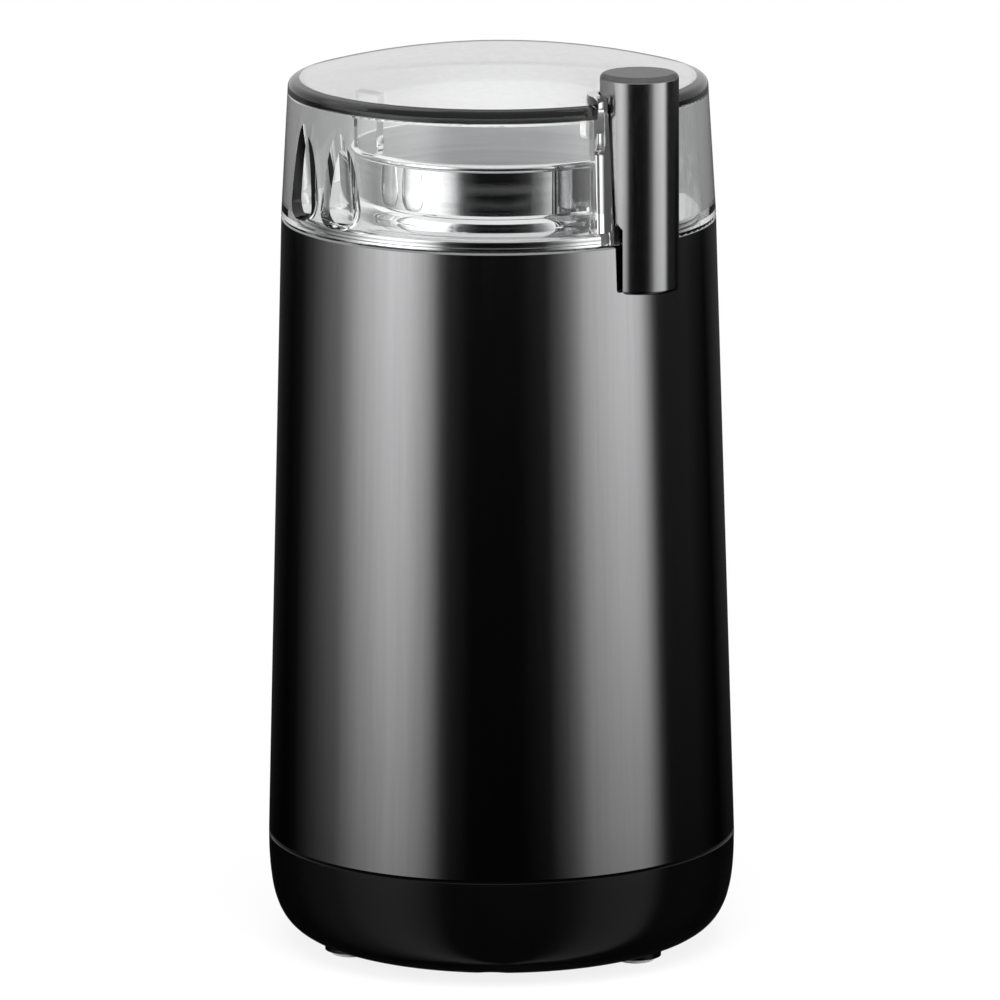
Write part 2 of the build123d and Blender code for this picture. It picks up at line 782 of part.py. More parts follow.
# Field coils: one saddle around each pole of the stator
with BuildPart() as field_coils:
    with BuildSketch(radial_plane(-coil_span / 2)):
        with BuildLine():
            Polyline(
                (coil_bore, stack_z - coil_overhang),
                (coil_radius, stack_z - coil_overhang),
                (coil_radius, stack_top_z + coil_overhang),
                (coil_bore, stack_top_z + coil_overhang),
                close=True,
            )
        make_face()
    revolve(axis=Axis.Z, revolution_arc=coil_span)
    with BuildSketch(radial_plane(-pole_span / 2)):
        with BuildLine():
            Polyline(
                (coil_bore - overrun, stack_z),
                (coil_radius + overrun, stack_z),
                (coil_radius + overrun, stack_top_z),
                (coil_bore - overrun, stack_top_z),
                close=True,
            )
        make_face()
    revolve(axis=Axis.Z, revolution_arc=pole_span, mode=Mode.SUBTRACT)
    mirror(about=Plane.YZ)

# Stator bolts: up through the lower bracket and the stack into the upper bracket
lower_bridge_z = lower_bridge_top_z - bracket_thick
with BuildPart() as stator_bolts:
    with BuildSketch(Plane.XY.offset(lower_bridge_z)):
        with Locations((-bolt_circle, 0), (bolt_circle, 0)):
            Circle(bolt_radius)
    extrude(amount=stack_top_z - lower_bridge_z + bolt_grip)
    with BuildSketch(Plane.XY.offset(lower_bridge_z - bolt_head)):
        with Locations((-bolt_circle, 0), (bolt_circle, 0)):
            Circle(bolt_head_radius)
    extrude(amount=bolt_head)

# Motor shaft: through both bearings and the cup bush, with a threaded tip for the blade
with BuildPart() as motor_shaft:
    with BuildSketch(Plane.XY.offset(shaft_z)):
        Circle(shaft_radius)
    extrude(amount=blade_z - shaft_z)
    with BuildSketch(Plane.XY.offset(blade_z)):
        Circle(shaft_tip_radius)
    extrude(amount=blade_thick + tip_thread)

# Armature core: a slotted lamination stack on the shaft
slot_mid = rotor_radius - slot_depth / 2
with BuildPart() as armature_core:
    with BuildSketch(Plane.XY.offset(stack_z)):
        Circle(rotor_radius)
        Circle(shaft_radius, mode=Mode.SUBTRACT)
        with PolarLocations(slot_mid, slot_count):
            Rectangle(slot_depth, slot_width, mode=Mode.SUBTRACT)
    extrude(amount=stack_height)

# Armature windings: rounded end turns joined by bars in the slots
with BuildPart() as armature_windings:
    for end_z in (winding_z, stack_top_z):
        with BuildSketch(Plane.XY.offset(end_z)):
            Circle(winding_radius)
            Circle(shaft_radius, mode=Mode.SUBTRACT)
        extrude(amount=winding_overhang)
    fillet(armature_windings.edges().filter_by(GeomType.CIRCLE).group_by(SortBy.RADIUS)[-1], winding_round)
    with BuildSketch(Plane.XY.offset(stack_z - winding_overhang / 2)):
        with PolarLocations(slot_mid - winding_inset / 2, slot_count):
            Rectangle(slot_depth - winding_inset, slot_width)
    extrude(amount=stack_height + winding_overhang)

# Commutator: slit copper drum with a riser against the windings
with BuildPart() as commutator:
    with BuildSketch(Plane.XY.offset(commutator_z)):
        Circle(commutator_radius)
    extrude(amount=commutator_height)
    with BuildSketch(Plane.XY.offset(winding_z - riser_height)):
        Circle(commutator_radius + riser_width)
    extrude(amount=riser_height)
    with BuildSketch(Plane.XY.offset(commutator_z)):
        Circle(shaft_radius)
        with PolarLocations(commutator_radius, slot_count):
            Rectangle(2 * commutator_slit_depth, commutator_slit)
    extrude(amount=commutator_height, mode=Mode.SUBTRACT)

# Cooling fan: a plate with straight vanes
vane_length = fan_radius - fan_hub_radius
with BuildPart() as cooling_fan:
    with BuildSketch(Plane.XY.offset(fan_z)):
        Circle(fan_radius)
    extrude(amount=fan_plate)
    with BuildSketch(Plane.XY.offset(fan_z)):
        Circle(fan_hub_radius)
    extrude(amount=fan_height)
    with BuildSketch(Plane.XY.offset(fan_z)):
        with PolarLocations(fan_radius - vane_length / 2 - vane_thick, vane_count):
            Rectangle(vane_length, vane_thick)
    extrude(amount=fan_height)
    with BuildSketch(Plane.XY.offset(fan_z)):
        Circle(shaft_radius)
    extrude(amount=fan_height, mode=Mode.SUBTRACT)

# Cutter blade: a hub with two pitched wings
blade_reach = cup_radius - cup_wall - blade_tip_gap
with BuildPart() as cutter_blade:
    with BuildSketch(Plane.XY.offset(blade_z)):
        Circle(blade_hub_radius)
    extrude(amount=blade_thick)
    for side in (0, 180):
        wing_plane = Plane((0, 0, blade_z), radial_plane(side).x_dir, (0, 0, 1)).rotated((blade_pitch, 0, 0))
        with BuildSketch(wing_plane):
            with BuildLine():
                Polyline(
                    (shaft_tip_radius, -blade_root_width / 2),
                    (blade_reach, -blade_tip_width / 2),
                    (blade_reach - blade_thick, blade_tip_width / 2),
                    (shaft_tip_radius, blade_root_width / 2),
                    close=True,
                )
            make_face()
        extrude(amount=blade_thick)
    with BuildSketch(Plane.XY.offset(blade_z - overrun)):
        Circle(shaft_tip_radius)
    extrude(amount=blade_thick + 2 * overrun, mode=Mode.SUBTRACT)
    with BuildSketch(Plane.XY.offset(blade_top_z)):
        Circle(blade_hub_radius)
    extrude(amount=overrun, mode=Mode.SUBTRACT)
    with BuildSketch(Plane.XY.offset(blade_z - overrun)):
        Circle(blade_hub_radius)
    extrude(amount=overrun, mode=Mode.SUBTRACT)

# Blade nut: a blind domed nut on the shaft's tip
with BuildPart() as blade_nut:
    with BuildSketch(Plane.XY.offset(blade_top_z)):
        RegularPolygon(blade_nut_radius, 6)
    extrude(amount=blade_nut_height)
    fillet(blade_nut.faces().sort_by(Axis.Z)[-1].edges(), blade_nut_round)
    with BuildSketch(Plane.XY.offset(blade_top_z)):
        Circle(shaft_tip_radius)
    extrude(amount=tip_thread, mode=Mode.SUBTRACT)

# Brush holders: a box guide on each arm of the lower bracket
holder_height = brush_z + brush_height / 2 + holder_wall - lower_bridge_top_z
with BuildPart() as brush_holders:
    with BuildSketch(Plane.XY.offset(lower_bridge_top_z)):
        with Locations((0, holder_start + holder_length / 2)):
            Rectangle(2 * holder_half_width, holder_length)
    extrude(amount=holder_height)
    with BuildSketch(rear_plane(holder_start - overrun, brush_z)):
        Rectangle(brush_width + 2 * run_gap, brush_height + 2 * run_gap)
    extrude(amount=holder_length + 2 * overrun, mode=Mode.SUBTRACT)
    mirror(about=Plane.XZ)

# Carbon brushes: blocks with an end worn to the commutator
with BuildPart() as carbon_brushes:
    with BuildSketch(rear_plane(0, brush_z)):
        Rectangle(brush_width, brush_height)
    extrude(amount=brush_end)
    with BuildSketch(Plane.XY.offset(commutator_z)):
        Circle(brush_start)
    extrude(amount=commutator_height, mode=Mode.SUBTRACT)
    mirror(about=Plane.XZ)

# Brush springs: press the brushes against the commutator
rear_spring = coil_spring(
    rear_plane(brush_end, brush_z),
    brush_spring_radius,
    brush_spring_wire,
    holder_end - brush_end,
    brush_spring_turns,
)
with BuildPart() as brush_springs:
    add(rear_spring.part)
    mirror(about=Plane.XZ)

# Brush caps: plates that close the outer ends of the holders
with BuildPart() as brush_caps:
    with BuildSketch(rear_plane(holder_end, brush_z)):
        Rectangle(2 * holder_half_width, brush_height + 2 * holder_wall)
    extrude(amount=cap_thick)
    mirror(about=Plane.XZ)

# Switch body: a block on the pads of the frame, open at the top for its button
with BuildPart() as switch_body:
    with BuildSketch(Plane.XY.offset(switch_z)):
        with Locations((0, -switch_inner - switch_depth / 2)):
            Rectangle(switch_width, switch_depth)
    extrude(amount=switch_height)
    fillet(switch_body.edges().filter_by(Axis.Z), switch_round)
    with BuildSketch(Plane.XY.offset(switch_top_z - button_sink - column_travel - column_clear)):
        with Locations((0, -rod_circle)):
            Circle(button_radius + run_gap)
    extrude(amount=button_sink + column_travel + column_clear, mode=Mode.SUBTRACT)
    with BuildSketch(rear_plane(-switch_outer, switch_screw_z)):
        with Locations((-switch_pitch / 2, 0), (switch_pitch / 2, 0)):
            Circle(switch_screw_radius + run_gap)
    extrude(amount=switch_depth, mode=Mode.SUBTRACT)
    with BuildSketch(rear_plane(-switch_outer, switch_screw_z)):
        with Locations((-switch_pitch / 2, 0), (switch_pitch / 2, 0)):
            Circle(switch_head_radius + run_gap)
    extrude(amount=switch_head, mode=Mode.SUBTRACT)

# Switch button: slides down into the switch
with BuildPart() as switch_button:
    with BuildSketch(Plane.XY.offset(switch_top_z - button_sink)):
        with Locations((0, -rod_circle)):
            Circle(button_radius)
    extrude(amount=button_sink + button_rise)

# Switch terminals: two tabs under the switch
tab_y = -switch_inner - switch_depth / 2
with BuildPart() as switch_terminals:
    with BuildSketch(Plane.XY.offset(switch_z - tab_length)):
        with Locations((-tab_pitch / 2, tab_y), (tab_pitch / 2, tab_y)):
            Rectangle(tab_width, tab_thick)
    extrude(amount=tab_length)

# Switch screws: through the switch into the pads of the frame
with BuildPart() as switch_screws:
    with BuildSketch(rear_plane(-switch_outer, switch_screw_z)):
        with Locations((-switch_pitch / 2, 0), (switch_pitch / 2, 0)):
            Circle(switch_head_radius)
    extrude(amount=switch_head)
    with BuildSketch(rear_plane(-switch_outer, switch_screw_z)):
        with Locations((-switch_pitch / 2, 0), (switch_pitch / 2, 0)):
            Circle(switch_screw_radius)
    extrude(amount=switch_depth + switch_standoff)

# Push rod: slides in the frame's guide between the column's pin and the switch button
with BuildPart() as push_rod:
    with BuildSketch(Plane.XY.offset(shoulder_z)):
        with Locations((0, -rod_circle)):
            Circle(rod_radius)
    extrude(amount=rod_top_z - shoulder_z)
    with BuildSketch(Plane.XY.offset(shoulder_z)):
        with Locations((0, -rod_circle)):
            Circle(rod_shoulder_radius)
    extrude(amount=rod_shoulder)
    with BuildSketch(Plane.XY.offset(rod_end_z)):
        with Locations((0, -rod_circle)):
            Circle(rod_stem_radius)
    extrude(amount=shoulder_z - rod_end_z)

# Rod spring: lifts the rod and the column again
rod_spring = coil_spring(
    Plane((0, -rod_circle, switch_top_z)),
    rod_spring_radius,
    rod_spring_wire,
    rod_spring_length,
    rod_spring_turns,
)

# Motor lead: from a switch terminal down to the front brush cap
lead_x = -tab_pitch / 2
lead_end = -holder_end - cap_thick
lead_bend = lead_bend_share * (lead_end - tab_y)
with BuildPart() as motor_lead:
    with BuildLine() as lead_route:
        FilletPolyline(
            (lead_x, tab_y, switch_z - tab_length),
            (lead_x, tab_y, brush_z),
            (lead_x, lead_end, brush_z),
            radius=lead_bend,
        )
    lead_track = lead_route.wire()
    with BuildSketch(Plane(origin=lead_track @ 0, z_dir=lead_track % 0)):
        Circle(lead_radius)
    sweep(path=lead_track)


def flute(angle, wall, ledge):
    """Leaning round cutter that runs out up the lid's wall, grown by a wall and a ledge."""
    low_z = lid_foot_z + flute_lift
    high_z = low_z + flute_length
    turn = math.radians(angle)
    low_out = lid_radius(low_z) - flute_depth + flute_radius
    high_out = lid_radius(high_z) + flute_radius
    low = Vector(low_out * math.cos(turn), low_out * math.sin(turn), low_z)
    high = Vector(high_out * math.cos(turn), high_out * math.sin(turn), high_z)
    lean = (high - low).normalized()
    with BuildPart() as grip:
        with BuildSketch(Plane(origin=low - lean * ledge, z_dir=lean)):
            Circle(flute_radius + wall)
        extrude(amount=(high - low).length + ledge + overrun)
        fillet(grip.faces().sort_by_distance(low - lean * ledge)[0].edges(), flute_round + wall)
    return grip


# Clear lid: a domed cap with a channel for the column, finger flutes and two tabs under its roof
flute_cutters = [flute(angle, 0, 0) for angle in flute_angles]
flute_walls = [flute(angle, flute_wall, flute_ledge) for angle in flute_angles]
tab_foot_z = cup_rim_z + lid_tab_clear
tab_head_z = roof_z - lid_dome_rise * (tab_reach / lid_rim_radius) ** 2 + lid_roof / 2
with BuildPart() as channel_boss:
    with BuildSketch(Plane.XZ):
        with BuildLine():
            Polyline(
                (0, lid_foot_z),
                (sleeve_top_radius, lid_foot_z),
                (lid_radius(channel_top_z), channel_top_z),
                (0, channel_top_z),
                close=True,
            )
        make_face()
    revolve(axis=Axis.Z)
    with BuildSketch(Plane.XY.offset(channel_foot_z)):
        with Locations((0, -column_circle)):
            Circle(channel_outer)
    extrude(amount=channel_top_z - channel_foot_z, mode=Mode.INTERSECT)

with BuildPart() as lid_cavity:
    with BuildSketch(Plane.XZ) as cavity_outline:
        with BuildLine():
            Polyline(
                (0, roof_z),
                (0, lid_foot_z - overrun),
                (lid_bore_radius, lid_foot_z - overrun),
                (lid_bore_radius, lid_foot_z),
                (lid_top_bore, roof_rim_z),
            )
            TangentArc((0, roof_z), (lid_top_bore, roof_rim_z), tangent=(1, 0))
        make_face()
        fillet(cavity_outline.vertices().sort_by_distance((lid_top_bore, roof_rim_z))[0], lid_inner_round)
    revolve(axis=Axis.Z)
    for wall in flute_walls:
        add(wall.part, mode=Mode.SUBTRACT)
    with BuildSketch(Plane.XY.offset(lid_foot_z - overrun)):
        Circle(lid_bore_radius)
    extrude(amount=channel_foot_z - lid_foot_z + overrun)

with BuildPart() as clear_lid:
    with BuildSketch(Plane.XZ) as lid_outline:
        with BuildLine():
            Polyline(
                (0, dome_z), (0, lid_foot_z), (sleeve_top_radius, lid_foot_z), (lid_rim_radius, rim_z)
            )
            TangentArc((0, dome_z), (lid_rim_radius, rim_z), tangent=(1, 0))
        make_face()
        fillet(lid_outline.vertices().sort_by_distance((lid_rim_radius, rim_z))[0], lid_rim_round)
    revolve(axis=Axis.Z)
    add(lid_cavity.part, mode=Mode.SUBTRACT)
    add(channel_boss.part)
    for tab_plane in (Plane.YZ.offset(tab_reach - lid_tab_thick), Plane.YZ.offset(-tab_reach)):
        with BuildSketch(tab_plane) as tab_outline:
            with Locations((0, (tab_foot_z + tab_head_z) / 2)):
                Rectangle(lid_tab_width, tab_head_z - tab_foot_z)
            fillet(tab_outline.vertices().group_by(Axis.Y)[0], lid_tab_round)
        extrude(amount=lid_tab_thick)
    with BuildSketch(Plane.XY.offset(lid_foot_z - overrun)):
        with Locations((0, -column_circle)):
            Circle(channel_radius)
    extrude(amount=dome_z - lid_foot_z + 2 * overrun, mode=Mode.SUBTRACT)
    for cutter in flute_cutters:
        add(cutter.part, mode=Mode.SUBTRACT)
    with BuildSketch(rear_plane(-column_circle, retainer_mid_z - column_travel / 2)):
        SlotOverall(
            retainer_boss_height + 2 * slide_gap + column_travel,
            retainer_boss_width + 2 * slide_gap,
            rotation=quarter_turn,
        )
    extrude(amount=channel_outer + slide_gap, mode=Mode.SUBTRACT)

# Push column: a round bar with a flat-backed skirt over the body and a pin on its inner half
skirt_back = column_circle + skirt_setback
flat_top_z = retainer_mid_z + retainer_height / 2
with BuildPart() as push_column:
    with BuildSketch(Plane.XY.offset(column_bottom_z)):
        with Locations((0, -column_circle)):
            Circle(column_radius)
    extrude(amount=column_top_z - column_bottom_z)
    fillet(push_column.edges().group_by(Axis.Z)[-1], column_round)
    with BuildSketch(Plane.YZ):
        with BuildLine():
            Polyline(
                (-skirt_back, column_bottom_z - overrun),
                (-skirt_back, column_foot_z - skirt_slope),
                (-skirt_back + skirt_slope, column_foot_z),
                (0, column_foot_z),
                (0, column_bottom_z - overrun),
                close=True,
            )
        make_face()
    extrude(amount=column_radius + overrun, both=True, mode=Mode.SUBTRACT)
    fillet(push_column.edges().group_by(Axis.Z)[0], skirt_round)
    with BuildSketch(rear_plane(-column_back, (column_foot_z + flat_top_z) / 2)):
        Rectangle(2 * column_radius, flat_top_z - column_foot_z)
    extrude(amount=column_radius, mode=Mode.SUBTRACT)
    with BuildSketch(Plane.XY.offset(pin_end_z)):
        with Locations((0, -rod_circle)):
            Circle(pin_radius)
    extrude(amount=column_foot_z - pin_end_z)
    with BuildSketch(rear_plane(-column_back - retainer_screw_length, retainer_mid_z)):
        Circle(retainer_screw_radius + run_gap)
    extrude(amount=retainer_screw_length, mode=Mode.SUBTRACT)

# Column retainer: a plate inside the channel's wall, its boss sliding in the wall's slot
with BuildPart() as column_retainer:
    with BuildSketch(rear_plane(-retainer_face, retainer_mid_z)):
        RectangleRounded(retainer_width, retainer_height, retainer_round)
    extrude(amount=retainer_thick)
    with BuildSketch(rear_plane(-column_back, retainer_mid_z)):
        SlotOverall(retainer_boss_height, retainer_boss_width, rotation=quarter_turn)
    extrude(amount=column_back - retainer_face)
    with BuildSketch(rear_plane(-column_back, retainer_mid_z)):
        Circle(retainer_screw_radius + run_gap)
    extrude(amount=column_back - retainer_back, mode=Mode.SUBTRACT)

# Retainer screw: holds the retainer to the column
with BuildPart() as retainer_screw:
    with BuildSketch(rear_plane(-retainer_back, retainer_mid_z)):
        Circle(retainer_head_radius)
    extrude(amount=retainer_head)
    with BuildSketch(rear_plane(-column_back - retainer_screw_length, retainer_mid_z)):
        Circle(retainer_screw_radius)
    extrude(amount=column_back + retainer_screw_length - retainer_back)

pieces = {
    "base_cover": base_cover,
    "rubber_feet": rubber_feet,
    "base_screws": base_screws,
    "cord_gland": cord_gland,
    "body_sleeve": body_sleeve,
    "motor_frame": motor_frame,
    "top_collar": top_collar,
    "grinding_cup": grinding_cup,
    "cup_bush": cup_bush,
    "cup_nut": cup_nut,
    "shaft_seal": shaft_seal,
    "motor_dampers": motor_dampers,
    "motor_screws": motor_screws,
    "upper_bracket": upper_bracket,
    "lower_bracket": lower_bracket,
    "upper_bearing": upper_bearing,
    "lower_bearing": lower_bearing,
    "stator_core": stator_core,
    "field_coils": field_coils,
    "stator_bolts": stator_bolts,
    "motor_shaft": motor_shaft,
    "armature_core": armature_core,
    "armature_windings": armature_windings,
    "commutator": commutator,
    "cooling_fan": cooling_fan,
    "cutter_blade": cutter_blade,
    "blade_nut": blade_nut,
    "brush_holders": brush_holders,
    "carbon_brushes": carbon_brushes,
    "brush_springs": brush_springs,
    "brush_caps": brush_caps,
    "switch_body": switch_body,
    "switch_button": switch_button,
    "switch_terminals": switch_terminals,
    "switch_screws": switch_screws,
    "push_rod": push_rod,
    "rod_spring": rod_spring,
    "motor_lead": motor_lead,
    "clear_lid": clear_lid,
    "push_column": push_column,
    "column_retainer": column_retainer,
    "retainer_screw": retainer_screw,
}
for name, piece in pieces.items():
    piece.part.label = name
    export_step(piece.part, f"parts/{name}.step")
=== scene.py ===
"""Looks of the electric coffee grinder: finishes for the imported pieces, studio light and the camera."""

import json
import math

import bpy
from mathutils import Matrix, Vector


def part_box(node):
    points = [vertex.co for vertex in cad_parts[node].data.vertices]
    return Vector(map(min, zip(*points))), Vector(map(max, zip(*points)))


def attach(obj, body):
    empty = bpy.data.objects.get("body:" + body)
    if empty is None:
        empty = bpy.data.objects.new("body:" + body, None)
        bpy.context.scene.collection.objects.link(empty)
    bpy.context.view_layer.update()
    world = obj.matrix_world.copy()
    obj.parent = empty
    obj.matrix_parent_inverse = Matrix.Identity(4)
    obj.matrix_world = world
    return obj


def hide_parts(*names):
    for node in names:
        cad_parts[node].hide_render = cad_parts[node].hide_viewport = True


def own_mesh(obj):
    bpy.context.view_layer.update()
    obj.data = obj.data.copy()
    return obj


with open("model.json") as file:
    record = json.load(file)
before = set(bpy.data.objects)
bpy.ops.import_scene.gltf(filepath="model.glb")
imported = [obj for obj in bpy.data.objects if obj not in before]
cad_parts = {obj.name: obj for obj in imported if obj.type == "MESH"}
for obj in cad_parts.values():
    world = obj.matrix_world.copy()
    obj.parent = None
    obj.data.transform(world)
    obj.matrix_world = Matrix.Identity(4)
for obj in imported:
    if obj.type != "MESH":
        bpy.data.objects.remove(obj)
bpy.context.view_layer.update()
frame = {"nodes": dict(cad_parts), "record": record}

nodes = frame["nodes"]
column_low, column_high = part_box("push_column")
scene = bpy.context.scene
scene.view_settings.view_transform = "Standard"

# View: where the photograph was taken from. Lens and sensor are in millimetres.
VIEW_AZIMUTH = math.radians(-42.1)
VIEW_DISTANCE = 1.700
VIEW_HEIGHT = 0.4463
VIEW_PITCH = math.radians(12.09)
VIEW_ROLL = math.radians(-0.267)
VIEW_LENS = 340.96
VIEW_SENSOR = 36
VIEW_CLIP = (0.01, 20)

# Studio wall of soft light around the object
WALL_RADIUS = 0.8
WALL_LOW, WALL_HIGH = -0.6, 0.6
WALL_STEPS = 96

# Its levels in reflections: (degrees from the camera's side, counted to the picture's right; level)
WALL_REFLECTED = (
    (-180, 0.05), (-150, 0.012), (-135, 0.003), (-123, 0.010), (-113, 0.055), (-104, 0.13), (-89, 0.26),
    (-75, 0.71), (-57, 1.09), (-48, 1.0), (-39, 0.67), (-34, 0.38), (-30, 0.11), (-26, 0.032), (-15, 0.004),
    (10, 0.004), (24, 0.022), (33, 0.156), (39, 0.36), (44, 0.64), (50, 0.80), (62, 0.98), (72, 1.02),
    (77, 0.84), (82, 0.38), (86, 0.09), (90, 0.022), (112, 0.026), (122, 0.014), (134, 0.003), (150, 0.03),
    (180, 0.05),
)
# Its levels through clear plastic. What is above 1 only lights dull surfaces under the lid.
WALL_THROUGH = (
    (-180, 1.0), (-179, 1.0), (-177, 0.55), (-172, 0.4), (-118, 0.3), (-90, 0.6), (-57, 7.0), (60, 7.0),
    (85, 0.7), (100, 0.3), (118, 0.3), (172, 0.4), (177, 0.55), (179, 1.0), (180, 1.0),
)
PANEL_RISE = (-0.213, 0.105)    # heights between which the panels rise to their gain
PANEL_GAIN = 2.2
PANEL_FOOT = 0.22               # share of a panel's level left near the ground
PANEL_END = (0.10, 0.14)        # heights between which the panels pass into the plain wall
PLAIN_TURN = (1.9, 2.3)         # radians from the camera's side between which the plain wall behind begins
PLAIN_FOOT = (0.015, 0.06)      # heights between which it begins
PLAIN_LEVEL = (0.3, 0.88)       # levels of the plain wall behind the object, and all round above the panels
GROUND_RISE = (-0.35, -0.12)    # heights between which the ground passes into the wall
GROUND_LEVEL = 0.96             # level of the ground seen through clear plastic
HALF_BOUNCE = 0.5               # parts rays without a bounce from those with one or more

# Floor and world
FLOOR_RADIUS = 1.5
FLOOR_STEPS = 72
FLOOR_TONE = (0.9, 0.9, 0.9, 1)
FLOOR_ROUGH = 0.9
FLOOR_WHITE = (0.84, 1.0)       # share of plain white near the object and far from it
FLOOR_FADE = (0.06, 0.12)       # reach from the axis between which the shadow fades out
WHITE = (1, 1, 1, 1)
WORLD_LIGHT = 0.55              # strength of the light all round on dull surfaces
WORLD_SEEN = 1.0                # strength of the background where it is seen

# Soft lamps: name, place, size in metres and power in watts
LAMPS = (
    ("lamp_top", (-0.3, -0.4, 1.1), 0.9, 14),
    ("lamp_left", (-1.2, 0.2, 0.6), 0.6, 8),
    ("lamp_right", (0.5, -1.2, 0.6), 0.6, 8),
)
LAMP_AIM = Vector((0, 0, 0.08))

# Places on the object, in metres
DOME_CENTRE = 0.0255        # height of the middle of the lid's domed curve
DOME_MIDDLE = 0.0034        # reach of the dome's apex from the axis
RIM_FOOT = 0.1587           # height where the lid's thick rim begins
RIM_BORE = 0.0362           # reach of the thick rim's inner side
ROOF_TILT = 0.9             # least upward part of a normal on the lid's roof
CUP_LIP = 0.0257            # reach from the axis that parts the cup's inside from its outside
SEAM_FOOT = 0.02034         # height where the base's edge at the seam begins
COLUMN_RADIUS = 0.0071
COLUMN_EDGE = 0.0009        # depth of the column's rounded edge below its top
CHANNEL_REACH = 0.0096      # outer reach of the lid's channel from the column's axis
EDGE_BLUR = 0.0002          # width over which one finish passes into another

# Rod spring: its wire and its turns
SPRING_WIRE = 0.00025
SPRING_TURNS = 6
SPRING_STEPS = 28           # sections to a turn
SPRING_SIDES = 10

# Clear lid
# The rim's near-black colour is painted shade, which darkens the thick edge of the lid's rim.
LID_TINT, RIM_SHADE = (0.985, 0.99, 0.99), (0.003, 0.003, 0.003)
LID_BEND, RIM_BEND = 1.52, 1.35     # index of refraction
LID_ROUGH = (0.0, 0.02)
LID_CLOUDS = (40, 40, 40)   # cells to the metre of its uneven gloss
LID_WAVES = (90, 90, 60)    # and of the waviness of the moulding
LID_DEPTH = 0.000004        # depth of that waviness in metres
HAZE_DARK, HAZE_LIGHT = (0.80, 0.80, 0.80), (0.84, 0.84, 0.84)
HAZE_ROUGH = (0.06, 0.10)
HAZE_SPECKS = (600, 600, 600)

# Steel cup. The share of metal and the stretch of the gloss by brushing are pairs for its inside and outside.
CUP_DARK, CUP_LIGHT = (0.80, 0.80, 0.805), (0.92, 0.92, 0.925)
CUP_RINGS = (25, 25, 1400)
CUP_GRAIN = (120, 120, 3000)
CUP_DEPTH = 0.0000005
CUP_METALLIC = (0.5, 1.0)
CUP_BRUSHED = (0.9, 0.0)
CUP_SATIN, CUP_POLISHED = (0.42, 0.52), (0.03, 0.07)
QUARTER_TURN = 0.25

# Column and base
# The column's darker top is painted shade: its top disc is darkened so that it reflects less light.
TOP_SHADE_DARK, TOP_SHADE_LIGHT = (0.115, 0.115, 0.117), (0.135, 0.135, 0.137)
TOP_PATCH = (700, 700, 700)
COLUMN_TINTS = (0.5, 0.5, 0.5), (0.58, 0.58, 0.58)      # of reflections at a flat angle, sides and top
# The base's dull edge at the seam is painted shade: a dark line where the seam lies in shade.
SEAM_SHADE_GLOSS = (0.65, 0.02)   # below the edge at the seam and on it

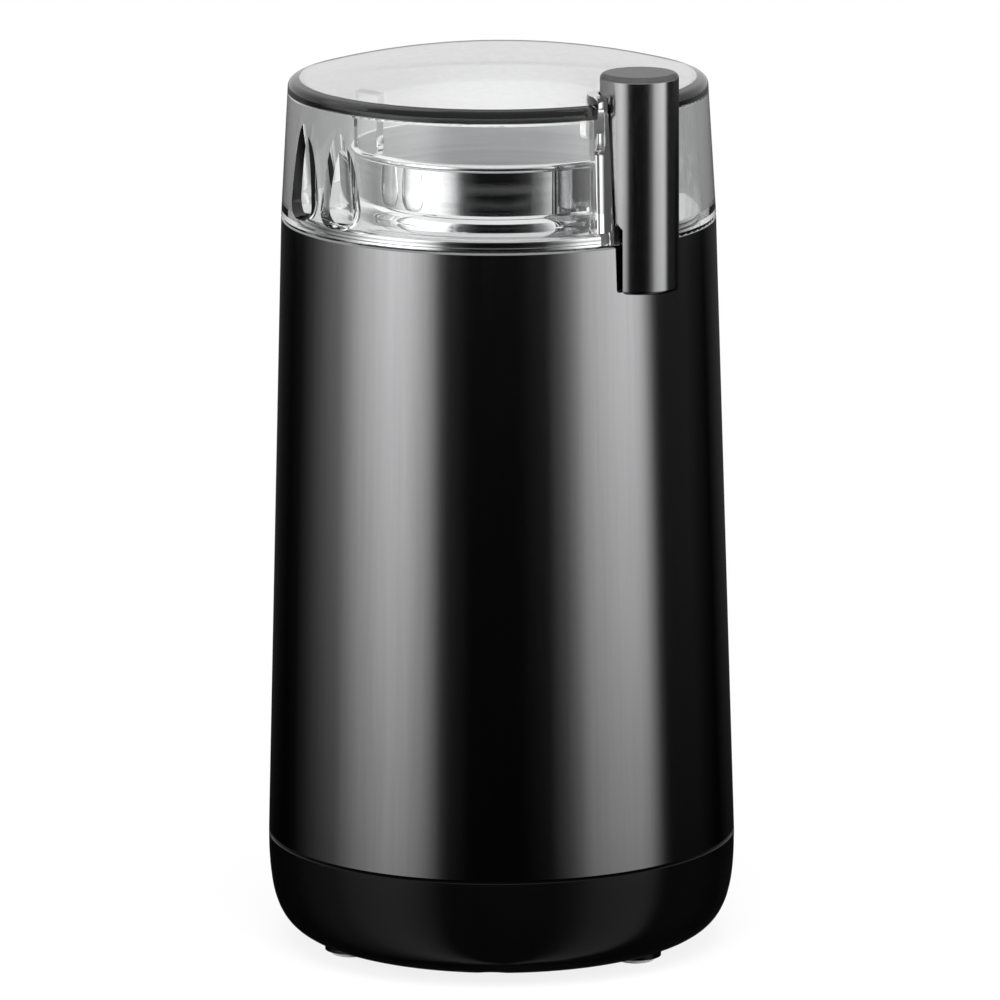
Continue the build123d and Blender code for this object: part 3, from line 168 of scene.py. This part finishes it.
# Finishes by material slot: two tones, range of roughness, the grain's cells to the metre and its depth in
# metres, and where they aren't the usual, the share of metal and the tones' cells to the metre
FINISHES = {
    "body_lacquer": dict(
        dark=(0.29, 0.29, 0.295), light=(0.31, 0.31, 0.315), rough=(0.09, 0.12),
        grain=(2600, 2600, 9), depth=0.000001, metallic=1.0, patch=(900, 900, 6),
    ),
    "base_plastic": dict(
        dark=(0.0011, 0.0011, 0.0012), light=(0.0017, 0.0017, 0.0018), rough=(0.08, 0.12),
        grain=(2400, 2400, 2400), depth=0.0000008,
    ),
    "column_gloss": dict(
        dark=(0.30, 0.30, 0.303), light=(0.33, 0.33, 0.333), rough=(0.12, 0.16),
        grain=(1500, 1500, 400), depth=0.0000005, metallic=1.0,
    ),
    "steel_polished": dict(
        dark=(0.66, 0.66, 0.665), light=(0.72, 0.72, 0.725), rough=(0.04, 0.09),
        grain=(120, 120, 3000), depth=0.0000008, metallic=1.0,
    ),
    "foot_rubber": dict(
        dark=(0.72, 0.72, 0.71), light=(0.82, 0.82, 0.81), rough=(0.5, 0.7),
        grain=(2500, 2500, 2500), depth=0.00002,
    ),
    "gland_rubber": dict(
        dark=(0.011, 0.011, 0.011), light=(0.018, 0.018, 0.018), rough=(0.45, 0.65),
        grain=(3000, 3000, 3000), depth=0.00001,
    ),
    "frame_plastic": dict(
        dark=(0.024, 0.024, 0.026), light=(0.036, 0.036, 0.038), rough=(0.4, 0.6),
        grain=(1800, 1800, 1800), depth=0.00001,
    ),
    "seal_rubber": dict(
        dark=(0.03, 0.03, 0.03), light=(0.05, 0.05, 0.05), rough=(0.5, 0.7),
        grain=(2500, 2500, 2500), depth=0.00001,
    ),
    "zinc_steel": dict(
        dark=(0.52, 0.52, 0.49), light=(0.64, 0.64, 0.62), rough=(0.22, 0.38),
        grain=(2500, 2500, 2500), depth=0.000003, metallic=1.0, patch=(500, 500, 500),
    ),
    "bush_steel": dict(
        dark=(0.56, 0.56, 0.56), light=(0.66, 0.66, 0.66), rough=(0.16, 0.3),
        grain=(300, 300, 6000), depth=0.000003, metallic=1.0,
    ),
    "cast_aluminium": dict(
        dark=(0.6, 0.6, 0.61), light=(0.72, 0.72, 0.73), rough=(0.4, 0.6),
        grain=(1200, 1200, 1200), depth=0.00003, metallic=1.0,
    ),
    "bearing_bronze": dict(
        dark=(0.46, 0.31, 0.14), light=(0.58, 0.41, 0.2), rough=(0.4, 0.55),
        grain=(4000, 4000, 4000), depth=0.00001, metallic=1.0,
    ),
    "shaft_steel": dict(
        dark=(0.58, 0.58, 0.59), light=(0.66, 0.66, 0.67), rough=(0.14, 0.24),
        grain=(400, 400, 8000), depth=0.000002, metallic=1.0,
    ),
    "fan_plastic": dict(
        dark=(0.08, 0.08, 0.09), light=(0.11, 0.11, 0.12), rough=(0.35, 0.5),
        grain=(1800, 1800, 1800), depth=0.000008,
    ),
    "blade_steel": dict(
        dark=(0.6, 0.6, 0.6), light=(0.7, 0.7, 0.7), rough=(0.18, 0.32),
        grain=(4000, 500, 500), depth=0.000003, metallic=1.0,
    ),
    "carbon": dict(
        dark=(0.02, 0.02, 0.02), light=(0.04, 0.04, 0.04), rough=(0.4, 0.6),
        grain=(5000, 5000, 5000), depth=0.00001,
    ),
    "holder_phenolic": dict(
        dark=(0.12, 0.065, 0.035), light=(0.18, 0.1, 0.055), rough=(0.3, 0.45),
        grain=(1200, 1200, 1200), depth=0.000006,
    ),
    "switch_plastic": dict(
        dark=(0.04, 0.04, 0.04), light=(0.055, 0.055, 0.055), rough=(0.35, 0.5),
        grain=(2200, 2200, 2200), depth=0.000006,
    ),
    "button_plastic": dict(
        dark=(0.48, 0.045, 0.04), light=(0.58, 0.07, 0.055), rough=(0.3, 0.4),
        grain=(2200, 2200, 2200), depth=0.000004,
    ),
    "lead_insulation": dict(
        dark=(0.17, 0.075, 0.03), light=(0.22, 0.1, 0.045), rough=(0.4, 0.5),
        grain=(2000, 2000, 2000), depth=0.000005,
    ),
    "spring_steel": dict(
        dark=(0.48, 0.48, 0.49), light=(0.6, 0.6, 0.61), rough=(0.2, 0.3),
        grain=(3000, 3000, 3000), depth=0.000002, metallic=1.0,
    ),
    "rod_plastic": dict(
        dark=(0.68, 0.68, 0.65), light=(0.78, 0.78, 0.76), rough=(0.3, 0.42),
        grain=(1500, 1500, 1500), depth=0.000004,
    ),
    "tab_brass": dict(
        dark=(0.62, 0.48, 0.2), light=(0.76, 0.62, 0.32), rough=(0.2, 0.35),
        grain=(2500, 2500, 500), depth=0.000003, metallic=1.0,
    ),
}

# Stacked or wound metal: two tones, range of roughness, pitch and depth of its lines in metres
LAYERED = {
    "laminations": dict(
        dark=(0.22, 0.22, 0.24), light=(0.4, 0.41, 0.43), rough=(0.3, 0.5), pitch=0.0007, depth=0.00005
    ),
    "copper": dict(
        dark=(0.5, 0.2, 0.08), light=(0.75, 0.37, 0.18), rough=(0.25, 0.4), pitch=0.0009, depth=0.00012
    ),
}
LAYER_BEND = 0.6            # how far a little noise bends the lines
LAYER_DETAIL = 2.0
LAYER_SPECKS = (800, 800, 800)

LOOKS = {"grinding_cup": "cup_steel"}       # pieces whose finish has another name than their slot

NOISE_SPAN = (0.3, 0.7)     # usual span of a noise texture's values
WAVE_BAND = 2 * math.pi / 20                # length of a wave texture's band at scale 1
# A mix node's places for its two inputs and its output, by what is mixed
MIX_PLACES = {"FLOAT": (2, 3, 0), "VECTOR": (4, 5, 1), "RGBA": (6, 7, 2)}


def new_material(name):
    """A material with its node tree and its Principled shader."""
    material = bpy.data.materials.new(name)
    material.use_nodes = True
    tree = material.node_tree
    return material, tree, tree.nodes["Principled BSDF"]


def feed(tree, value, socket):
    """Gives a socket another node's value or a plain one."""
    if isinstance(value, bpy.types.NodeSocket):
        tree.links.new(value, socket)
    else:
        socket.default_value = value


def place(tree, scale=(1, 1, 1)):
    """Coordinates on the piece itself, in metres, stretched by a scale along each axis."""
    coords = tree.nodes.new("ShaderNodeTexCoord")
    mapping = tree.nodes.new("ShaderNodeMapping")
    mapping.inputs["Scale"].default_value = scale
    tree.links.new(coords.outputs["Object"], mapping.inputs["Vector"])
    return mapping.outputs["Vector"]


def noise(tree, scale, detail=4.0):
    """Noise over the piece with so many cells to the metre along each axis."""
    texture = tree.nodes.new("ShaderNodeTexNoise")
    texture.inputs["Scale"].default_value = 1.0
    texture.inputs["Detail"].default_value = detail
    tree.links.new(place(tree, scale), texture.inputs["Vector"])
    return texture.outputs["Fac"]


def between(tree, value, low, high, start=NOISE_SPAN[0], end=NOISE_SPAN[1]):
    """A value spread from low to high as it goes from start to end."""
    spread = tree.nodes.new("ShaderNodeMapRange")
    spread.inputs["From Min"].default_value = start
    spread.inputs["From Max"].default_value = end
    spread.inputs["To Min"].default_value = low
    spread.inputs["To Max"].default_value = high
    tree.links.new(value, spread.inputs["Value"])
    return spread.outputs["Result"]


def tone(tree, value, dark, light):
    """A texture value turned into a colour between two tones."""
    ramp = tree.nodes.new("ShaderNodeValToRGB")
    for stop, position, colour in zip(ramp.color_ramp.elements, NOISE_SPAN, (dark, light)):
        stop.position = position
        stop.color = (*colour, 1)
    tree.links.new(value, ramp.inputs["Fac"])
    return ramp.outputs["Color"]


def level_by_angle(tree, share, stops):
    """Light level by the share of a turn around the object, counted from behind it."""
    ramp = tree.nodes.new("ShaderNodeValToRGB")
    places = ramp.color_ramp.elements
    while len(places) < len(stops):
        places.new(0.5)
    for spot, (angle, level) in zip(places, stops):
        spot.position = (angle + 180) / 360
        spot.color = (level, level, level, 1)
    tree.links.new(share, ramp.inputs["Fac"])
    return ramp.outputs["Color"]


def combine(tree, operation, first, second=0.0):
    """A value, or two of them, put through a math operation; the second may be a plain number."""
    step = tree.nodes.new("ShaderNodeMath")
    step.operation = operation
    feed(tree, first, step.inputs[0])
    feed(tree, second, step.inputs[1])
    return step.outputs["Value"]


def product(tree, first, *others):
    """Values multiplied with each other."""
    for other in others:
        first = combine(tree, "MULTIPLY", first, other)
    return first


def vector_step(tree, operation, first, second=(0, 0, 0)):
    """A vector, or two of them, put through a vector operation; the second may be plain numbers."""
    step = tree.nodes.new("ShaderNodeVectorMath")
    step.operation = operation
    feed(tree, first, step.inputs[0])
    feed(tree, second, step.inputs[1])
    return step.outputs["Value" if operation in ("LENGTH", "DISTANCE", "DOT_PRODUCT") else "Vector"]


def along_axes(tree, vector):
    """The parts of a vector along X, Y and Z."""
    split = tree.nodes.new("ShaderNodeSeparateXYZ")
    tree.links.new(vector, split.inputs["Vector"])
    return split.outputs


def blend(tree, share, first, second, kind="FLOAT"):
    """Mix of two levels, vectors or colours by a share; they may be plain."""
    start, end, result = MIX_PLACES[kind]
    mix = tree.nodes.new("ShaderNodeMix")
    mix.data_type = kind
    tree.links.new(share, mix.inputs["Factor"])
    feed(tree, first, mix.inputs[start])
    feed(tree, second, mix.inputs[end])
    return mix.outputs[result]


def mix_shaders(tree, share, first, second):
    """Mix of two shaders by a share."""
    mix = tree.nodes.new("ShaderNodeMixShader")
    tree.links.new(share, mix.inputs["Fac"])
    tree.links.new(first, mix.inputs[1])
    tree.links.new(second, mix.inputs[2])
    return mix.outputs["Shader"]


def glow(tree, strength):
    """White light of a strength."""
    light = tree.nodes.new("ShaderNodeEmission")
    light.inputs["Color"].default_value = WHITE
    feed(tree, strength, light.inputs["Strength"])
    return light.outputs["Emission"]


def show(tree, shader):
    """Makes a shader the one that the material shows."""
    tree.links.new(shader, tree.nodes["Material Output"].inputs["Surface"])


def bump(tree, shader, pattern, depth, normal=None):
    """Surface relief of a depth in metres, on the piece's own normals or on given ones."""
    relief = tree.nodes.new("ShaderNodeBump")
    relief.inputs["Strength"].default_value = 1.0
    relief.inputs["Distance"].default_value = depth
    tree.links.new(pattern, relief.inputs["Height"])
    if normal:
        tree.links.new(normal, relief.inputs["Normal"])
    tree.links.new(relief.outputs["Normal"], shader.inputs["Normal"])


def reach_from_axis(tree):
    """Distance from the piece's upright axis in metres."""
    return vector_step(tree, "LENGTH", place(tree, (1, 1, 0)))


def height(tree):
    """Height on the piece in metres."""
    return along_axes(tree, place(tree))["Z"]


def beyond(tree, value, limit):
    """0 below a limit and 1 above it, with a soft step."""
    return between(tree, value, 0.0, 1.0, limit - EDGE_BLUR / 2, limit + EDGE_BLUR / 2)


def finish(name, dark, light, rough, grain, depth, metallic=0.0, patch=(60, 60, 60)):
    """A surface with two close tones in patches, uneven gloss and a fine grain."""
    material, tree, shader = new_material(name)
    shader.inputs["Metallic"].default_value = metallic
    tree.links.new(tone(tree, noise(tree, patch), dark, light), shader.inputs["Base Color"])
    fine = noise(tree, grain)
    tree.links.new(between(tree, fine, *rough), shader.inputs["Roughness"])
    bump(tree, shader, fine, depth)
    return material


def layered(name, dark, light, rough, pitch, depth):
    """Stacked or wound metal: lines across Z at a pitch in metres, with a little noise."""
    material, tree, shader = new_material(name)
    shader.inputs["Metallic"].default_value = 1.0
    wave = tree.nodes.new("ShaderNodeTexWave")
    wave.bands_direction = "Z"
    wave.inputs["Scale"].default_value = WAVE_BAND / pitch
    wave.inputs["Distortion"].default_value = LAYER_BEND
    wave.inputs["Detail"].default_value = LAYER_DETAIL
    tree.links.new(place(tree), wave.inputs["Vector"])
    tree.links.new(tone(tree, wave.outputs["Fac"], dark, light), shader.inputs["Base Color"])
    tree.links.new(between(tree, noise(tree, LAYER_SPECKS), *rough), shader.inputs["Roughness"])
    bump(tree, shader, wave.outputs["Fac"], depth)
    return material


def dome_normals(tree):
    """Normals of the piece, with those of a true dome close to its apex."""
    normal = tree.nodes.new("ShaderNodeNewGeometry").outputs["Normal"]
    outward = vector_step(tree, "NORMALIZE", vector_step(tree, "SUBTRACT", place(tree), (0, 0, DOME_CENTRE)))
    side = combine(tree, "SIGN", vector_step(tree, "DOT_PRODUCT", outward, normal))
    turned = vector_step(tree, "MULTIPLY", outward, side)
    apex = combine(tree, "LESS_THAN", reach_from_axis(tree), DOME_MIDDLE)
    return blend(tree, apex, normal, turned, "VECTOR")


def clear_of_column(tree):
    """0 in the lid's channel around the column and 1 away from it."""
    axis = ((column_low.x + column_high.x) / 2, column_low.y + COLUMN_RADIUS, 0)
    return beyond(tree, vector_step(tree, "DISTANCE", place(tree, (1, 1, 0)), axis), CHANNEL_REACH)


def haze_roof(tree, shader):
    """Adds the bright haze that the lid's roof has when it is seen at a flat angle."""
    geometry = tree.nodes.new("ShaderNodeNewGeometry")
    top = combine(tree, "GREATER_THAN", along_axes(tree, geometry.outputs["Normal"])["Z"], ROOF_TILT)
    inside = between(tree, reach_from_axis(tree), 1.0, 0.0, RIM_BORE - EDGE_BLUR, RIM_BORE)
    outer = blend(tree, geometry.outputs["Backfacing"], 1.0, 0.0)
    slant = tree.nodes.new("ShaderNodeLayerWeight").outputs["Facing"]
    haze = tree.nodes.new("ShaderNodeBsdfGlossy")
    speck = noise(tree, HAZE_SPECKS)
    tree.links.new(tone(tree, speck, HAZE_DARK, HAZE_LIGHT), haze.inputs["Color"])
    tree.links.new(between(tree, speck, *HAZE_ROUGH), haze.inputs["Roughness"])
    tree.links.new(dome_normals(tree), haze.inputs["Normal"])
    share = product(tree, top, inside, outer, slant)
    show(tree, mix_shaders(tree, share, shader.outputs["BSDF"], haze.outputs["BSDF"]))


def clear_plastic(name):
    """Polished clear plastic with the faint waviness of a moulding, and painted shade in the thick edge of
    its rim.
    """
    material, tree, shader = new_material(name)
    high_up = beyond(tree, height(tree), RIM_FOOT)
    outside = beyond(tree, reach_from_axis(tree), RIM_BORE)
    # Mask of the thick rim that gets the painted shade, kept off the channel around the column.
    rim = product(tree, high_up, outside, clear_of_column(tree))
    tree.links.new(tone(tree, rim, LID_TINT, RIM_SHADE), shader.inputs["Base Color"])
    shader.inputs["Transmission Weight"].default_value = 1.0
    tree.links.new(blend(tree, rim, LID_BEND, RIM_BEND), shader.inputs["IOR"])
    tree.links.new(between(tree, noise(tree, LID_CLOUDS), *LID_ROUGH), shader.inputs["Roughness"])
    bump(tree, shader, noise(tree, LID_WAVES, detail=1.0), LID_DEPTH, dome_normals(tree))
    haze_roof(tree, shader)
    return material


def drawn_cup(name):
    """Steel cup, mirror-polished outside and brushed satin inside."""
    material, tree, shader = new_material(name)
    tree.links.new(tone(tree, noise(tree, CUP_RINGS), CUP_DARK, CUP_LIGHT), shader.inputs["Base Color"])
    outside = beyond(tree, reach_from_axis(tree), CUP_LIP)
    tree.links.new(blend(tree, outside, *CUP_METALLIC), shader.inputs["Metallic"])
    tree.links.new(blend(tree, outside, *CUP_BRUSHED), shader.inputs["Anisotropic"])
    shader.inputs["Anisotropic Rotation"].default_value = QUARTER_TURN
    around = tree.nodes.new("ShaderNodeTangent")
    around.direction_type = "RADIAL"
    around.axis = "Z"
    tree.links.new(around.outputs["Tangent"], shader.inputs["Tangent"])
    fine = noise(tree, CUP_GRAIN)
    satin = between(tree, fine, *CUP_SATIN)
    polished = between(tree, fine, *CUP_POLISHED)
    tree.links.new(blend(tree, outside, satin, polished), shader.inputs["Roughness"])
    bump(tree, shader, fine, CUP_DEPTH)
    return material


def paint_shade_on_top(material):
    """Gives the gloss column a darker top, which is painted shade."""
    tree = material.node_tree
    shader = tree.nodes["Principled BSDF"]
    sides = shader.inputs["Base Color"].links[0].from_socket
    # Mask of the column's top, which gets the painted shade.
    shaded_top = beyond(tree, height(tree), column_high.z - COLUMN_EDGE)
    top = tone(tree, noise(tree, TOP_PATCH), TOP_SHADE_DARK, TOP_SHADE_LIGHT)
    tree.links.new(blend(tree, shaded_top, sides, top, "RGBA"), shader.inputs["Base Color"])
    tree.links.new(tone(tree, shaded_top, *COLUMN_TINTS), shader.inputs["Specular Tint"])


def paint_seam_shade(material):
    """Paints shade along the gloss base's edge at the seam by making it dull there."""
    tree = material.node_tree
    gloss = blend(tree, beyond(tree, height(tree), SEAM_FOOT), *SEAM_SHADE_GLOSS)
    tree.links.new(gloss, tree.nodes["Principled BSDF"].inputs["Specular IOR Level"])


def make_spring(material):
    """Coiled rod spring in the place of the CAD one."""
    low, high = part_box("rod_spring")
    middle = (low + high) / 2
    coil = (high.x - low.x) / 2 - SPRING_WIRE
    foot = low.z + SPRING_WIRE
    climb = high.z - low.z - 2 * SPRING_WIRE
    slope = climb / SPRING_TURNS / (2 * math.pi * coil)
    sections = SPRING_TURNS * SPRING_STEPS
    points = []
    faces = []
    for section in range(sections + 1):
        turn = 2 * math.pi * section / SPRING_STEPS
        outward = Vector((math.cos(turn), math.sin(turn), 0))
        along = Vector((-math.sin(turn), math.cos(turn), slope)).normalized()
        upward = along.cross(outward) * -1
        centre = Vector((middle.x, middle.y, foot + climb * section / sections)) + coil * outward
        for side in range(SPRING_SIDES):
            around = 2 * math.pi * side / SPRING_SIDES
            points.append(centre + SPRING_WIRE * (math.cos(around) * outward + math.sin(around) * upward))
    for section in range(sections):
        for side in range(SPRING_SIDES):
            here = SPRING_SIDES * section + side
            beside = SPRING_SIDES * section + (side + 1) % SPRING_SIDES
            faces.append((here, here + SPRING_SIDES, beside + SPRING_SIDES, beside))
    faces.append(tuple(range(SPRING_SIDES)))
    faces.append(tuple(reversed(range(SPRING_SIDES * sections, SPRING_SIDES * (sections + 1)))))
    mesh = bpy.data.meshes.new("rod_spring_coil")
    mesh.from_pydata(points, [], faces)
    mesh.shade_smooth()
    mesh.materials.append(material)
    spring = bpy.data.objects.new("rod_spring_coil", mesh)
    scene.collection.objects.link(spring)
    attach(spring, "housing")
    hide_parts("rod_spring")
    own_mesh(spring)


def shown_rays(tree):
    """1 for rays from the camera, from a reflection or through clear plastic, else 0."""
    path = tree.nodes.new("ShaderNodeLightPath")
    total = path.outputs["Is Camera Ray"]
    for kind in ("Is Glossy Ray", "Is Transmission Ray"):
        total = combine(tree, "MAXIMUM", total, path.outputs[kind])
    return total


def make_world():
    """White all round for what is seen, softer for what lights the object."""
    world = bpy.data.worlds.new("studio")
    world.use_nodes = True
    tree = world.node_tree
    light = tree.nodes["Background"]
    white = tree.nodes.new("ShaderNodeBackground")
    for background, strength in ((light, WORLD_LIGHT), (white, WORLD_SEEN)):
        background.inputs["Color"].default_value = WHITE
        background.inputs["Strength"].default_value = strength
    both = mix_shaders(tree, shown_rays(tree), light.outputs["Background"], white.outputs["Background"])
    tree.links.new(both, tree.nodes["World Output"].inputs["Surface"])
    scene.world = world


def stage_mesh(name, points, faces, material):
    """A piece of the studio, which isn't part of the object."""
    mesh = bpy.data.meshes.new(name)
    mesh.from_pydata(points, [], faces)
    mesh.materials.append(material)
    piece = bpy.data.objects.new(name, mesh)
    scene.collection.objects.link(piece)
    return piece


def make_floor():
    """White floor that fades into the background, keeps a soft shadow and isn't seen from below."""
    material, tree, shader = new_material("floor_white")
    shader.inputs["Base Color"].default_value = FLOOR_TONE
    shader.inputs["Roughness"].default_value = FLOOR_ROUGH
    fade = between(tree, reach_from_axis(tree), *FLOOR_WHITE, *FLOOR_FADE)
    seen = product(tree, shown_rays(tree), fade)
    above = mix_shaders(tree, seen, shader.outputs["BSDF"], glow(tree, WORLD_SEEN))
    geometry = tree.nodes.new("ShaderNodeNewGeometry")
    below = tree.nodes.new("ShaderNodeBsdfTransparent")
    show(tree, mix_shaders(tree, geometry.outputs["Backfacing"], above, below.outputs["BSDF"]))
    around = [2 * math.pi * step / FLOOR_STEPS for step in range(FLOOR_STEPS)]
    points = [(FLOOR_RADIUS * math.cos(turn), FLOOR_RADIUS * math.sin(turn), 0) for turn in around]
    floor = stage_mesh("floor", points, [tuple(range(FLOOR_STEPS))], material)
    floor.visible_glossy = False
    floor.visible_transmission = False


def wall_light(tree):
    """Level of the studio wall, by place and by whether a ray was reflected or came through clear plastic."""
    spot = along_axes(tree, place(tree))
    path = tree.nodes.new("ShaderNodeLightPath").outputs
    passed = path["Is Transmission Ray"]
    turn = combine(tree, "ARCTAN2", spot["Y"], spot["X"])
    share = between(tree, turn, 0, 1, -math.pi, math.pi)
    rise = combine(tree, "MAXIMUM", between(tree, spot["Z"], 0.0, PANEL_GAIN, *PANEL_RISE), PANEL_FOOT)
    panels = product(tree, level_by_angle(tree, share, WALL_REFLECTED), rise)
    behind = between(tree, combine(tree, "ABSOLUTE", turn), 0.0, 1.0, *PLAIN_TURN)
    above = combine(tree, "MAXIMUM", between(tree, spot["Z"], 0.0, 1.0, *PLAIN_FOOT), passed)
    high = between(tree, spot["Z"], 0.0, 1.0, *PANEL_END)
    plain = combine(tree, "MAXIMUM", product(tree, behind, above), combine(tree, "SUBTRACT", high, passed))
    reflected = blend(tree, plain, panels, blend(tree, high, *PLAIN_LEVEL))
    fill = level_by_angle(tree, share, WALL_THROUGH)
    scattered = combine(tree, "GREATER_THAN", path["Diffuse Depth"], HALF_BOUNCE)
    clear = blend(tree, scattered, combine(tree, "MINIMUM", fill, 1.0), fill)
    ground = between(tree, spot["Z"], 1.0, 0.0, *GROUND_RISE)
    clear = blend(tree, ground, clear, GROUND_LEVEL)
    unreflected = combine(tree, "LESS_THAN", path["Glossy Depth"], HALF_BOUNCE)
    return blend(tree, product(tree, passed, unreflected), reflected, clear)


def make_wall():
    """Round studio wall and ground with soft light panels, for reflections and clear plastic only."""
    material, tree, shader = new_material("studio_wall")
    tree.nodes.remove(shader)
    show(tree, glow(tree, wall_light(tree)))
    points = []
    faces = []
    for step in range(WALL_STEPS):
        angle = 2 * math.pi * step / WALL_STEPS
        side = (WALL_RADIUS * math.cos(angle), WALL_RADIUS * math.sin(angle))
        points += [(*side, WALL_LOW), (*side, WALL_HIGH)]
        first = 2 * step
        after = (first + 2) % (2 * WALL_STEPS)
        faces.append((first, after, after + 1, first + 1))
    faces.append(tuple(range(0, 2 * WALL_STEPS, 2)))
    wall = stage_mesh("studio_wall", points, faces, material)
    wall.rotation_euler = (0, 0, VIEW_AZIMUTH - math.pi / 2)
    wall.visible_camera = False
    wall.visible_diffuse = False
    wall.visible_shadow = False
    wall.visible_volume_scatter = False


def make_lamp(name, spot, size, power):
    """Soft square lamp that points at the object and isn't seen in reflections."""
    data = bpy.data.lights.new(name, "AREA")
    data.shape = "SQUARE"
    data.size = size
    data.energy = power
    lamp = bpy.data.objects.new(name, data)
    lamp.location = spot
    lamp.rotation_mode = "QUATERNION"
    lamp.rotation_quaternion = (LAMP_AIM - Vector(spot)).to_track_quat("-Z", "Y")
    lamp.visible_glossy = False
    lamp.visible_transmission = False
    scene.collection.objects.link(lamp)


def make_camera():
    """Camera at the photograph's viewing angle."""
    data = bpy.data.cameras.new("camera")
    data.lens = VIEW_LENS
    data.sensor_width = VIEW_SENSOR
    data.clip_start, data.clip_end = VIEW_CLIP
    camera = bpy.data.objects.new("camera", data)
    spot = (VIEW_DISTANCE * math.sin(VIEW_AZIMUTH), -VIEW_DISTANCE * math.cos(VIEW_AZIMUTH), VIEW_HEIGHT)
    turn = Matrix.Rotation(VIEW_AZIMUTH, 4, "Z")
    tilt = Matrix.Rotation(math.pi / 2 - VIEW_PITCH, 4, "X")
    roll = Matrix.Rotation(VIEW_ROLL, 4, "Z")
    camera.matrix_world = Matrix.Translation(spot) @ turn @ tilt @ roll
    scene.collection.objects.link(camera)
    scene.camera = camera


materials = {name: finish(name, **look) for name, look in FINISHES.items()}
materials.update({name: layered(name, **look) for name, look in LAYERED.items()})
materials["lid_clear"] = clear_plastic("lid_clear")
materials["cup_steel"] = drawn_cup("cup_steel")
paint_shade_on_top(materials["column_gloss"])
paint_seam_shade(materials["base_plastic"])

for subpart in frame["record"]["subparts"]:
    piece = nodes[subpart["node"]]
    piece.data.materials.clear()
    piece.data.materials.append(materials[LOOKS.get(subpart["node"], subpart["material_slot"])])

make_spring(materials["spring_steel"])
make_world()
make_floor()
make_wall()
for lamp in LAMPS:
    make_lamp(*lamp)
make_camera()
